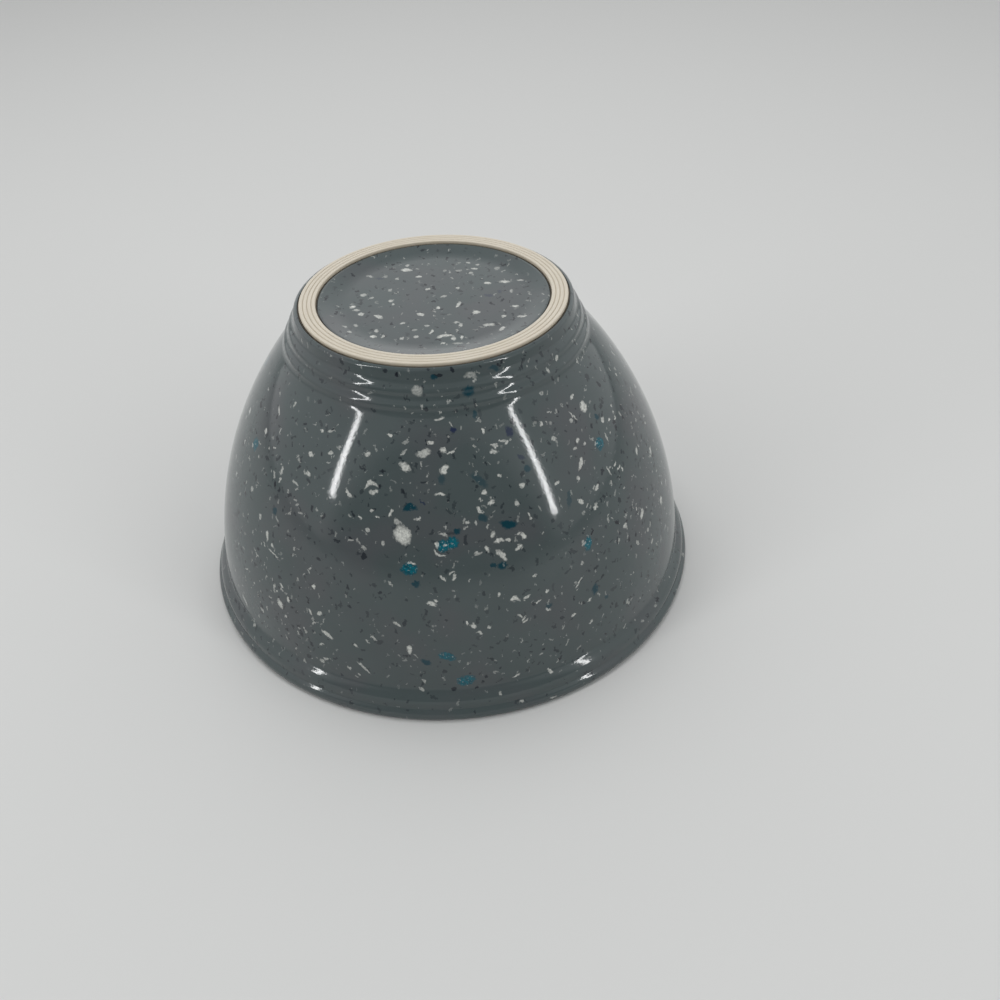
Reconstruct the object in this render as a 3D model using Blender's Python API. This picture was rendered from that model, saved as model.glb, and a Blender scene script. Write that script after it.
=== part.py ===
"""Garbage bowl: a moulded bowl standing mouth down, with a ribbed non-slip ring bonded into its foot.

The mouth stands on z = 0 with its centre at the origin, and the foot points up along +Z.
Sizes are in metres. Every piece is turned about Z, so a section is a list of (radius, height) corners.
"""
import math

import bmesh
import bpy
from mathutils import Matrix, Vector

# Driving dimensions: the bowl as a whole
RIM_RADIUS = 0.1270
LIP_HEIGHT = 0.1482
WALL = 0.0036
BODY_ARC_RADIUS = 0.2040

# Rim: a bead that stands on the table, a crease, then a crowned band that slopes up to a cove in the wall
RIM_FOOT_RADIUS = 0.0026
RIM_BEAD_HEIGHT = 0.0047
RIM_BEAD_ROUND = 0.0036
RIM_CREASE_DEPTH = 0.0020
RIM_CREASE_RISE = 0.0020
RIM_CREASE_ROUND = 0.0008
RIM_BAND_TAPER = 0.0003
RIM_BAND_RISE = 0.0038
RIM_BAND_ROUND = 0.0070
RIM_SLOPE_WIDTH = 0.0021
RIM_SLOPE_RISE = 0.0029
RIM_SLOPE_ROUND = 0.0140
RIM_LEDGE_WIDTH = 0.0019
RIM_LEDGE_RISE = 0.0019
RIM_COVE_RADIUS = 0.0030

# Foot: a round lip outside the ring, a short tapered wall, then soft shoulders that step down to the body
FOOT_LIP_WIDTH = 0.0015
FOOT_EDGE_RADIUS = 0.0017
FOOT_WALL_DROP = 0.0056
FOOT_WALL_FLARE = 0.0014
SHOULDER_COUNT = 2
SHOULDER_WIDTH = 0.00255
SHOULDER_DROP = 0.00255
RISER_DROP = 0.0032
RISER_FLARE = 0.0003
SHOULDER_ROUND = 0.0048
BODY_COVE_RADIUS = 0.0100

# Base: a shallow dish inside the foot
BASE_RECESS = 0.0020
BASE_THICKNESS = 0.0043
BASE_DISH_SLOPE = 0.0055
BASE_DISH_RADIUS = 0.0120
BASE_LAND_WIDTH = 0.0009
BASE_LAND_ROUND = 0.0005
INSIDE_CORNER_RADIUS = 0.0140

# Non-slip ring and the adhesive bed under it
RING_INNER_RADIUS = 0.0538
RING_WIDTH = 0.0076
RING_THICKNESS = 0.0016
RING_STAND_OUT = 0.0013
RIB_COUNT = 4
RIB_DEPTH = 0.0004
RIB_FLANK = 0.0003
ADHESIVE_THICKNESS = 0.0004
ADHESIVE_BEAD_WIDTH = 0.0003
ADHESIVE_BEAD_RISE = 0.0006
CLEARANCE = 0.0003

# Fineness of the turned shapes, and the most of a straight that the roundings at its ends may take up
TURN_STEPS = 48
BODY_STEPS = 10
INSIDE_STEPS = 9
ROUND_STEPS = 3
ROUNDING_SHARE = 0.96
MERGE_DISTANCE = 0.000001
SHARP_ANGLE = math.radians(40)

# Heights and radii that follow from the driving dimensions
RING_OUTER_RADIUS = RING_INNER_RADIUS + RING_WIDTH
RING_TOP = LIP_HEIGHT + RING_STAND_OUT
RING_BOTTOM = RING_TOP - RING_THICKNESS
BED_TOP = RING_BOTTOM - CLEARANCE
BED_BOTTOM = BED_TOP - ADHESIVE_THICKNESS
GROOVE_FLOOR = BED_BOTTOM - CLEARANCE
GROOVE_MARGIN = ADHESIVE_BEAD_WIDTH + 2 * CLEARANCE
GROOVE_INNER_RADIUS = RING_INNER_RADIUS - GROOVE_MARGIN
GROOVE_OUTER_RADIUS = RING_OUTER_RADIUS + GROOVE_MARGIN
FOOT_RADIUS = GROOVE_OUTER_RADIUS + FOOT_LIP_WIDTH
BASE_FLOOR = LIP_HEIGHT - BASE_RECESS
INSIDE_FLOOR = BASE_FLOOR - BASE_THICKNESS


def rounded_section(corners):
    """Return the section's points, with each (radius, height, round) corner eased by a tangent arc.

    Two roundings that want more than the straight between them share it, each by what it wants.
    """
    places = [Vector(corner[:2]) for corner in corners]
    wanted = [0]
    for before, here, after, corner in zip(places, places[1:], places[2:], corners[1:]):
        half_angle = (before - here).angle(after - here) / 2
        wanted.append(corner[2] / math.tan(half_angle))
    wanted.append(0)

    points = []
    for index, here in enumerate(places):
        if wanted[index] == 0:
            points.append(here)
            continue
        setback = wanted[index]
        for beside in (index - 1, index + 1):
            straight = (places[beside] - here).length * ROUNDING_SHARE
            setback = min(setback, straight * wanted[index] / (wanted[index] + wanted[beside]))
        before = (places[index - 1] - here).normalized()
        after = (places[index + 1] - here).normalized()
        centre = here + (before + after).normalized() * setback / math.cos(before.angle(after) / 2)
        arm = here + before * setback - centre
        turn = arm.angle_signed(here + after * setback - centre)
        for step in range(ROUND_STEPS + 1):
            points.append(centre + Matrix.Rotation(-turn * step / ROUND_STEPS, 2) @ arm)
    return points


def turned(name, section, closed, material):
    """Turn a section about Z into one closed body."""
    mesh = bpy.data.meshes.new(name)
    body = bmesh.new()
    verts = [body.verts.new((point.x, 0, point.y)) for point in section]
    edges = [body.edges.new(pair) for pair in zip(verts, verts[1:])]
    if closed:
        edges.append(body.edges.new((verts[-1], verts[0])))
    bmesh.ops.spin(
        body, geom=verts + edges, cent=(0, 0, 0), axis=(0, 0, 1),
        angle=2 * math.pi, steps=TURN_STEPS, use_merge=True,
    )
    bmesh.ops.remove_doubles(body, verts=body.verts, dist=MERGE_DISTANCE)
    bmesh.ops.recalc_face_normals(body, faces=body.faces)
    body.to_mesh(mesh)
    body.free()
    mesh.shade_smooth()
    mesh.set_sharp_from_angle(angle=SHARP_ANGLE)
    mesh.materials.append(material)
    piece = bpy.data.objects.new(name, mesh)
    bpy.context.collection.objects.link(piece)
    return piece


def plain_material(name, colour, roughness):
    """A dielectric surface in the piece's own colour."""
    material = bpy.data.materials.new(name)
    material.use_nodes = True
    shader = material.node_tree.nodes["Principled BSDF"]
    shader.inputs["Base Color"].default_value = (*colour, 1)
    shader.inputs["Roughness"].default_value = roughness
    shader.inputs["Metallic"].default_value = 0
    return material


def arc_centre(upper, lower, radius):
    """Centre, on the axis side, of the arc that joins two points of the wall."""
    chord = lower - upper
    middle = (upper + lower) / 2
    inward = Vector((chord.y, -chord.x)).normalized()
    return middle + inward * math.sqrt(radius ** 2 - (chord.length / 2) ** 2)


def foot_corners():
    """Corners of the foot's outer side from the lip down to where the body begins."""
    radius = FOOT_RADIUS + FOOT_WALL_FLARE
    height = LIP_HEIGHT - FOOT_WALL_DROP
    corners = [(FOOT_RADIUS, LIP_HEIGHT, FOOT_EDGE_RADIUS), (radius, height, SHOULDER_ROUND)]
    for _ in range(SHOULDER_COUNT):
        radius += SHOULDER_WIDTH
        height -= SHOULDER_DROP
        corners.append((radius, height, SHOULDER_ROUND))
        radius += RISER_FLARE
        height -= RISER_DROP
        corners.append((radius, height, SHOULDER_ROUND))
    corners[-1] = (radius, height, BODY_COVE_RADIUS)
    return corners


def bowl_section():
    """The shell's section, from the middle of the base over the foot, wall and rim to the inside floor."""
    foot = foot_corners()
    body_top = Vector(foot[-1][:2])
    bead = Vector((RIM_RADIUS, RIM_BEAD_HEIGHT))
    crease = bead + Vector((-RIM_CREASE_DEPTH, RIM_CREASE_RISE))
    band = crease + Vector((-RIM_BAND_TAPER, RIM_BAND_RISE))
    slope = band + Vector((-RIM_SLOPE_WIDTH, RIM_SLOPE_RISE))
    body_foot = slope + Vector((-RIM_LEDGE_WIDTH, RIM_LEDGE_RISE))
    centre = arc_centre(body_top, body_foot, BODY_ARC_RADIUS)

    top_angle = math.atan2(body_top.y - centre.y, body_top.x - centre.x)
    foot_angle = math.atan2(body_foot.y - centre.y, body_foot.x - centre.x)
    body = []
    for step in range(1, BODY_STEPS):
        angle = top_angle + (foot_angle - top_angle) * step / BODY_STEPS
        outward = Vector((math.cos(angle), math.sin(angle)))
        body.append((*(centre + outward * BODY_ARC_RADIUS), 0))

    inside_radius = BODY_ARC_RADIUS - WALL
    mouth_angle = math.asin(-centre.y / inside_radius)
    floor_angle = math.asin((INSIDE_FLOOR - centre.y) / inside_radius)
    inside = []
    for step in range(INSIDE_STEPS + 1):
        angle = mouth_angle + (floor_angle - mouth_angle) * step / INSIDE_STEPS
        outward = Vector((math.cos(angle), math.sin(angle)))
        inside.append((*(centre + outward * inside_radius), 0))
    mouth_radius = inside[0][0]
    floor_radius = inside[-1][0]

    land_radius = GROOVE_INNER_RADIUS - BASE_LAND_WIDTH
    return rounded_section([
        (0, BASE_FLOOR, 0),
        (land_radius - BASE_DISH_SLOPE, BASE_FLOOR, BASE_DISH_RADIUS),
        (land_radius, LIP_HEIGHT, BASE_LAND_ROUND),
        (GROOVE_INNER_RADIUS, LIP_HEIGHT, 0),
        (GROOVE_INNER_RADIUS, GROOVE_FLOOR, 0),
        (GROOVE_OUTER_RADIUS, GROOVE_FLOOR, 0),
        (GROOVE_OUTER_RADIUS, LIP_HEIGHT, 0),
        *foot,
        *body,
        (*body_foot, RIM_COVE_RADIUS),
        (*slope, RIM_SLOPE_ROUND),
        (*band, RIM_BAND_ROUND),
        (*crease, RIM_CREASE_ROUND),
        (*bead, RIM_BEAD_ROUND),
        (RIM_RADIUS, 0, RIM_FOOT_RADIUS),
        (mouth_radius, 0, RIM_FOOT_RADIUS),
        *inside[1:-1],
        (floor_radius, INSIDE_FLOOR, INSIDE_CORNER_RADIUS),
        (0, INSIDE_FLOOR, 0),
    ])


def ring_section():
    """The rubber ring's section: a flat underside, and flat-topped ribs with V-shaped grooves between."""
    pitch = RING_WIDTH / RIB_COUNT
    section = [Vector((RING_OUTER_RADIUS, RING_BOTTOM)), Vector((RING_INNER_RADIUS, RING_BOTTOM))]
    for rib in range(RIB_COUNT):
        start = RING_INNER_RADIUS + rib * pitch
        section.append(Vector((start, RING_TOP - RIB_DEPTH)))
        section.append(Vector((start + RIB_FLANK, RING_TOP)))
        section.append(Vector((start + pitch - RIB_FLANK, RING_TOP)))
    section.append(Vector((RING_OUTER_RADIUS, RING_TOP - RIB_DEPTH)))
    return section


def adhesive_section():
    """The adhesive's section: a thin bed under the ring, with a bead squeezed up along both edges."""
    inner = GROOVE_INNER_RADIUS + CLEARANCE
    outer = GROOVE_OUTER_RADIUS - CLEARANCE
    bead_top = BED_TOP + ADHESIVE_BEAD_RISE
    return [
        Vector((inner, bead_top)),
        Vector((inner + ADHESIVE_BEAD_WIDTH, bead_top)),
        Vector((inner + ADHESIVE_BEAD_WIDTH, BED_TOP)),
        Vector((outer - ADHESIVE_BEAD_WIDTH, BED_TOP)),
        Vector((outer - ADHESIVE_BEAD_WIDTH, bead_top)),
        Vector((outer, bead_top)),
        Vector((outer, BED_BOTTOM)),
        Vector((inner, BED_BOTTOM)),
    ]


for existing in list(bpy.data.objects):
    bpy.data.objects.remove(existing, do_unlink=True)

turned("bowl", bowl_section(), False, plain_material("speckled_grey_melamine", (0.12, 0.13, 0.13), 0.12))
turned("non_slip_ring", ring_section(), True, plain_material("cream_rubber", (0.62, 0.57, 0.47), 0.55))
turned("ring_adhesive", adhesive_section(), True, plain_material("brown_adhesive", (0.10, 0.08, 0.055), 0.6))
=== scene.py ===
"""Garbage bowl, mouth down on a pale table: the looks of the moulded bowl, its ring and the adhesive.

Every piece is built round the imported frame, in metres, rim on z = 0 and foot up along +Z.
"""
import math
from typing import NamedTuple

import bmesh
import bpy
from mathutils import Matrix, Vector
from mathutils.bvhtree import BVHTree


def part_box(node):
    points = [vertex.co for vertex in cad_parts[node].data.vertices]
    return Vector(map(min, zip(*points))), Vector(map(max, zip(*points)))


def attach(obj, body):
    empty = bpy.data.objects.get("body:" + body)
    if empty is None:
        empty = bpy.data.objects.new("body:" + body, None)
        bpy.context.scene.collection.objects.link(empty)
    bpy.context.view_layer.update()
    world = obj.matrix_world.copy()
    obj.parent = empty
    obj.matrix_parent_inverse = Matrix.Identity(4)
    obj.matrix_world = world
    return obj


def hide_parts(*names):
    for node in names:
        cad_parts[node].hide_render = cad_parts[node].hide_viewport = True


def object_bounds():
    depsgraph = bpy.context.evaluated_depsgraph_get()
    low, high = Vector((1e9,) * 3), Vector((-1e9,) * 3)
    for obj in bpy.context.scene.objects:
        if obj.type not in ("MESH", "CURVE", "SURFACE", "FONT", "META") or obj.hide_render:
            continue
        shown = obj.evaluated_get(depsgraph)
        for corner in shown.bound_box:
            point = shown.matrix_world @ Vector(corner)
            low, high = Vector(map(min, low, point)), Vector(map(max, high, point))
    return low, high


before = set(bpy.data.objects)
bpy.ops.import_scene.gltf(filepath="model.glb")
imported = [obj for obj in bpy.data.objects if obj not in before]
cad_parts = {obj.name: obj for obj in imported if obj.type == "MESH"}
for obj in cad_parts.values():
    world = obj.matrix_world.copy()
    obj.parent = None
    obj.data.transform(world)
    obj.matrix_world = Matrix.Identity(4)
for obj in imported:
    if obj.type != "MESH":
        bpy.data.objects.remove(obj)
cad_low, cad_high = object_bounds()


# Camera: a phone held over the table, in front of the bowl and looking down at it.
# It comes first because the chips that catch the eye are placed along its rays.
PHOTO_SIDE = 1000
FOCAL_LENGTH_PIXELS = 957
SENSOR_WIDTH = 36
CAMERA_PLACE = Vector((0, -0.3976, 0.3560))
CAMERA_TILT = math.radians(39.895)
CAMERA_PAN = math.radians(3.842)
CAMERA_ROLL = math.radians(2.161)

sight = Vector((
    math.sin(CAMERA_PAN) * math.cos(CAMERA_TILT),
    math.cos(CAMERA_PAN) * math.cos(CAMERA_TILT),
    -math.sin(CAMERA_TILT),
))
level = Vector((math.cos(CAMERA_PAN), -math.sin(CAMERA_PAN), 0))
plumb = sight.cross(level)
photo_right = level * math.cos(CAMERA_ROLL) + plumb * math.sin(CAMERA_ROLL)
photo_down = plumb * math.cos(CAMERA_ROLL) - level * math.sin(CAMERA_ROLL)

camera = bpy.data.objects.new("camera", bpy.data.cameras.new("camera"))
camera.data.sensor_width = SENSOR_WIDTH
camera.data.lens = SENSOR_WIDTH * FOCAL_LENGTH_PIXELS / PHOTO_SIDE
turned_to_bowl = Matrix((photo_right, -photo_down, -sight)).transposed().to_4x4()
camera.matrix_world = Matrix.Translation(CAMERA_PLACE) @ turned_to_bowl
bpy.context.scene.collection.objects.link(camera)
bpy.context.scene.camera = camera


# Bowl: one thick melamine shell, hot-pressed in a mould, with white, teal and dark chips in grey resin.
# It is one turned section: a dished base, the ring's groove, a stepped foot, the wall and the rim below.
# The chips lie at all angles under the gloss, so the surface cuts them as flakes, shreds and dust.
rim_radius = cad_high.x
lip_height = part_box("bowl")[1].z
ring_low, ring_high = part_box("non_slip_ring")
adhesive_low, adhesive_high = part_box("ring_adhesive")

WALL = 0.0036
BODY_ARC_RADIUS = 0.2040
RIM_FOOT_RADIUS = 0.0026
RIM_BEAD_HEIGHT = 0.0047
RIM_BEAD_ROUND = 0.0036
RIM_CREASE_DEPTH = 0.0020
RIM_CREASE_RISE = 0.0020
RIM_CREASE_ROUND = 0.0008
RIM_BAND_TAPER = 0.0003
RIM_BAND_RISE = 0.0038
RIM_BAND_ROUND = 0.0070
RIM_SLOPE_WIDTH = 0.0021
RIM_SLOPE_RISE = 0.0029
RIM_SLOPE_ROUND = 0.0140
RIM_LEDGE_WIDTH = 0.0019
RIM_LEDGE_RISE = 0.0019
RIM_COVE_RADIUS = 0.0030
FOOT_LIP_WIDTH = 0.0015
FOOT_EDGE_RADIUS = 0.0017
FOOT_WALL_DROP = 0.0056
FOOT_WALL_FLARE = 0.0014
SHOULDER_COUNT = 2
SHOULDER_WIDTH = 0.00255
SHOULDER_DROP = 0.00255
RISER_DROP = 0.0032
RISER_FLARE = 0.0003
SHOULDER_ROUND = 0.0048
BODY_COVE_RADIUS = 0.0100
BASE_RECESS = 0.0020
BASE_THICKNESS = 0.0043
BASE_DISH_SLOPE = 0.0085
BASE_DISH_RADIUS = 0.0300
BASE_LAND_WIDTH = 0.0009
BASE_LAND_ROUND = 0.0005
INSIDE_CORNER_RADIUS = 0.0140
CLEARANCE = 0.0003
RING_WIDTH = 0.0076
TURN_STEPS = 240
ROUND_STEPS = 7
BODY_STEPS = 24
ROUNDING_SHARE = 0.96
MERGE_DISTANCE = 0.000001
SHARP_ANGLE = math.radians(40)

groove_outer = adhesive_high.x + CLEARANCE
groove_inner = ring_high.x - RING_WIDTH - (groove_outer - ring_high.x)
groove_floor = adhesive_low.z - CLEARANCE
base_floor = lip_height - BASE_RECESS
inside_floor = base_floor - BASE_THICKNESS


def eased(corners):
    """The section's points, with each (radius, height, easing) corner rounded by a tangent arc.

    Two roundings that want more than the straight between them share it, each by what it wants.
    """
    places = [Vector(corner[:2]) for corner in corners]
    wanted = [0]
    for before, here, after, corner in zip(places, places[1:], places[2:], corners[1:]):
        half_angle = (before - here).angle(after - here) / 2
        wanted.append(corner[2] / math.tan(half_angle))
    wanted.append(0)

    points = []
    for index, here in enumerate(places):
        if wanted[index] == 0:
            points.append(here)
            continue
        setback = wanted[index]
        for beside in (index - 1, index + 1):
            straight = (places[beside] - here).length * ROUNDING_SHARE
            setback = min(setback, straight * wanted[index] / (wanted[index] + wanted[beside]))
        before = (places[index - 1] - here).normalized()
        after = (places[index + 1] - here).normalized()
        centre = here + (before + after).normalized() * setback / math.cos(before.angle(after) / 2)
        arm = here + before * setback - centre
        turn = arm.angle_signed(here + after * setback - centre)
        for step in range(ROUND_STEPS + 1):
            points.append(centre + Matrix.Rotation(-turn * step / ROUND_STEPS, 2) @ arm)
    return points


def arc_corners(centre, radius, start_angle, end_angle):
    """Corners along an arc, its two ends left out."""
    for step in range(1, BODY_STEPS):
        angle = start_angle + (end_angle - start_angle) * step / BODY_STEPS
        yield (*(centre + radius * Vector((math.cos(angle), math.sin(angle)))), 0)


def bowl_section():
    """From the middle of the base over the foot, wall and rim to the middle of the inside floor."""
    radius = groove_outer + FOOT_LIP_WIDTH
    foot = [(radius, lip_height, FOOT_EDGE_RADIUS)]
    radius += FOOT_WALL_FLARE
    height = lip_height - FOOT_WALL_DROP
    foot.append((radius, height, SHOULDER_ROUND))
    for _ in range(SHOULDER_COUNT):
        radius += SHOULDER_WIDTH
        height -= SHOULDER_DROP
        foot.append((radius, height, SHOULDER_ROUND))
        radius += RISER_FLARE
        height -= RISER_DROP
        foot.append((radius, height, SHOULDER_ROUND))
    foot[-1] = (radius, height, BODY_COVE_RADIUS)

    top = Vector((radius, height))
    bead = Vector((rim_radius, RIM_BEAD_HEIGHT))
    crease = bead + Vector((-RIM_CREASE_DEPTH, RIM_CREASE_RISE))
    band = crease + Vector((-RIM_BAND_TAPER, RIM_BAND_RISE))
    slope = band + Vector((-RIM_SLOPE_WIDTH, RIM_SLOPE_RISE))
    bottom = slope + Vector((-RIM_LEDGE_WIDTH, RIM_LEDGE_RISE))
    chord = bottom - top
    inward = Vector((chord.y, -chord.x)).normalized()
    centre = (top + bottom) / 2 + inward * math.sqrt(BODY_ARC_RADIUS ** 2 - (chord.length / 2) ** 2)
    top_angle = math.atan2(*reversed(top - centre))
    bottom_angle = math.atan2(*reversed(bottom - centre))
    inside_radius = BODY_ARC_RADIUS - WALL
    mouth_angle = math.asin(-centre.y / inside_radius)
    floor_angle = math.asin((inside_floor - centre.y) / inside_radius)
    mouth_radius = centre.x + inside_radius * math.cos(mouth_angle)
    floor_radius = centre.x + inside_radius * math.cos(floor_angle)
    land = groove_inner - BASE_LAND_WIDTH
    return eased([
        (0, base_floor, 0),
        (land - BASE_DISH_SLOPE, base_floor, BASE_DISH_RADIUS),
        (land, lip_height, BASE_LAND_ROUND),
        (groove_inner, lip_height, 0),
        (groove_inner, groove_floor, 0),
        (groove_outer, groove_floor, 0),
        (groove_outer, lip_height, 0),
        *foot,
        *arc_corners(centre, BODY_ARC_RADIUS, top_angle, bottom_angle),
        (*bottom, RIM_COVE_RADIUS),
        (*slope, RIM_SLOPE_ROUND),
        (*band, RIM_BAND_ROUND),
        (*crease, RIM_CREASE_ROUND),
        (*bead, RIM_BEAD_ROUND),
        (rim_radius, 0, RIM_FOOT_RADIUS),
        (mouth_radius, 0, RIM_FOOT_RADIUS),
        *arc_corners(centre, inside_radius, mouth_angle, floor_angle),
        (floor_radius, inside_floor, INSIDE_CORNER_RADIUS),
        (0, inside_floor, 0),
    ])


def feed(tree, kind, *feeds, **settings):
    """Add a node, and feed its sockets in order with numbers or with the outputs of other nodes."""
    made = tree.nodes.new(kind)
    for name, value in settings.items():
        setattr(made, name, value)
    for socket, source in zip(made.inputs, feeds):
        if isinstance(source, bpy.types.NodeSocket):
            tree.links.new(source, socket)
        elif source is not None:
            socket.default_value = source
    return made.outputs


def sums(operation, *numbers):
    """A sum, in the tree that its fed sockets belong to."""
    tree = next(number.id_data for number in numbers if isinstance(number, bpy.types.NodeSocket))
    return feed(tree, "ShaderNodeMath", *numbers, operation=operation)[0]


def turning_tree():
    """Geometry nodes that turn a section, drawn as points in XZ, about Z into a closed skin."""
    tree = bpy.data.node_groups.new("turned", "GeometryNodeTree")
    sockets = tree.interface
    sockets.new_socket("Section", in_out="INPUT", socket_type="NodeSocketGeometry")
    sockets.new_socket("Turn steps", in_out="INPUT", socket_type="NodeSocketInt")
    sockets.new_socket("Merge distance", in_out="INPUT", socket_type="NodeSocketFloat")
    sockets.new_socket("Material", in_out="INPUT", socket_type="NodeSocketMaterial")
    sockets.new_socket("Skin", in_out="OUTPUT", socket_type="NodeSocketGeometry")
    section, steps, merge_distance, material, _ = feed(tree, "NodeGroupInput")

    def whole(operation, *numbers):
        return feed(tree, "FunctionNodeIntegerMath", *numbers, operation=operation)[0]

    section_count = feed(tree, "GeometryNodeAttributeDomainSize", section, component="MESH")[0]
    columns = whole("ADD", steps, 1)
    grid = feed(tree, "GeometryNodeMeshGrid", 1, 1, section_count, columns)[0]
    index = feed(tree, "GeometryNodeInputIndex")[0]
    position = feed(tree, "GeometryNodeInputPosition")[0]
    row = whole("DIVIDE_FLOOR", index, columns)
    column = whole("MODULO", index, columns)
    drawn = feed(tree, "GeometryNodeSampleIndex", section, position, row, data_type="FLOAT_VECTOR")[0]
    radius, _, height = feed(tree, "ShaderNodeSeparateXYZ", drawn)
    angle = sums("MULTIPLY", sums("DIVIDE", column, steps), math.tau)
    place = feed(
        tree, "ShaderNodeCombineXYZ",
        sums("MULTIPLY", radius, sums("COSINE", angle)),
        sums("MULTIPLY", radius, sums("SINE", angle)),
        height,
    )[0]
    swept = feed(tree, "GeometryNodeSetPosition", grid, None, place)[0]
    closed = feed(tree, "GeometryNodeMergeByDistance", swept, None, merge_distance)[0]
    real = feed(tree, "GeometryNodeRealizeInstances", closed)[0]
    feed(tree, "NodeGroupOutput", feed(tree, "GeometryNodeSetMaterial", real, None, material)[0])
    return tree


turned = turning_tree()


def turned_piece(name, section, material):
    """A smooth closed piece turned from a list of (radius, height) points."""
    drawing = bpy.data.meshes.new(name)
    drawing.from_pydata([(point.x, 0, point.y) for point in section], [], [])
    blank = bpy.data.objects.new(name + "_section", drawing)
    bpy.context.scene.collection.objects.link(blank)
    turning = blank.modifiers.new("turned", "NODES")
    turning.node_group = turned
    wanted = {"Turn steps": TURN_STEPS, "Merge distance": MERGE_DISTANCE, "Material": material}
    for socket in turned.interface.items_tree:
        if socket.name in wanted:
            turning[socket.identifier] = wanted[socket.name]
    evaluated = blank.evaluated_get(bpy.context.evaluated_depsgraph_get())
    skin = bpy.data.meshes.new_from_object(evaluated)
    bpy.data.objects.remove(blank)

    shell = bmesh.new()
    shell.from_mesh(skin)
    bmesh.ops.recalc_face_normals(shell, faces=shell.faces)
    shell.to_mesh(skin)
    shell.free()
    skin.shade_smooth()
    skin.set_sharp_from_angle(angle=SHARP_ANGLE)
    piece = bpy.data.objects.new(name, skin)
    bpy.context.scene.collection.objects.link(piece)
    return piece


melamine = bpy.data.materials.new("speckled_melamine")
bowl = turned_piece("bowl_shell", bowl_section(), melamine)
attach(bowl, "root")
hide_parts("bowl")


def on_screen(red, green, blue):
    """A colour as a screen shows it, 0 to 255, as the shader's linear values."""
    def linear(level):
        share = level / 255
        return share / 12.92 if share <= 0.04045 else ((share + 0.055) / 1.055) ** 2.4
    return (linear(red), linear(green), linear(blue), 1)


RESIN = on_screen(76, 86, 87)
RESIN_DEEP = on_screen(69, 79, 80)
RESIN_WARM = on_screen(79, 82, 85)
WHITE_CHIP_AND_HIGHLIGHT = on_screen(214, 216, 210)
TEAL_CHIP = on_screen(0, 98, 113)
DEEP_TEAL_CHIP = on_screen(0, 54, 66)
NAVY_CHIP = on_screen(26, 38, 66)
BLACK_CHIP = on_screen(20, 27, 36)


class Chip(NamedTuple):
    """A chip that catches the eye: the photograph's pixel that it lies under, and its real size."""
    across: float
    down: float
    length: float
    width: float
    turn: float = 0
    bend: float = 0
    show: float = 0.85


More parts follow.
